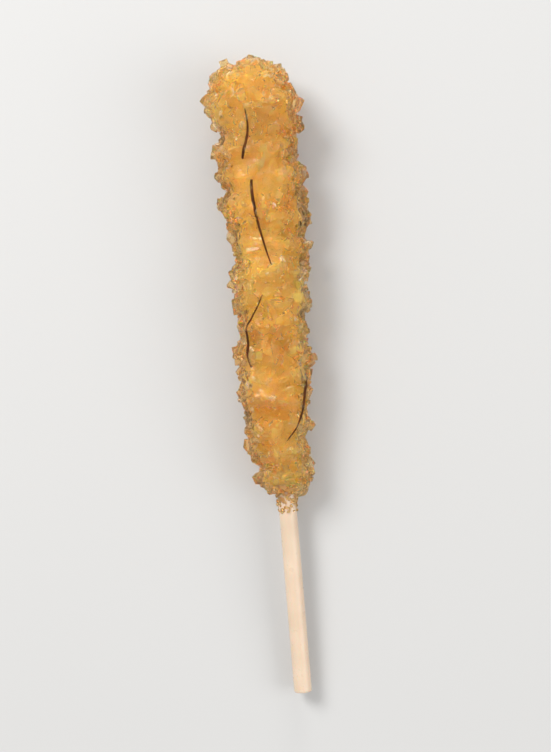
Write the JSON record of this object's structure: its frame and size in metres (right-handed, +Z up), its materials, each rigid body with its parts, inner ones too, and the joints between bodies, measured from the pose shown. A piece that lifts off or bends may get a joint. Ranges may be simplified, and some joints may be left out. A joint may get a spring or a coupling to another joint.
{
  "type": "rock candy stick",
  "caption": "Thick uneven crust of amber sugar crystals grown round one end of a thin straight white rod, lying on its side.",
  "frame": {"origin": "middle of the stick's base: on the surface it lies on, under the middle of its length and width", "axes": "+Y along the stick from the bare rod towards the candy's tip, +Z up from the surface it lies on, +X across it"},
  "size_m": [0.0224, 0.1398, 0.0201],
  "materials": {
    "saffron_sugar": "clear golden amber sugar crystals with glittering faces",
    "white_plastic": "smooth warm white, lightly glossy",
    "saffron_threads": "dried dark maroon threads"
  },
  "bodies": {
    "root": {"candy": "saffron_sugar", "rod": "white_plastic"}
  },
  "joints": []
}
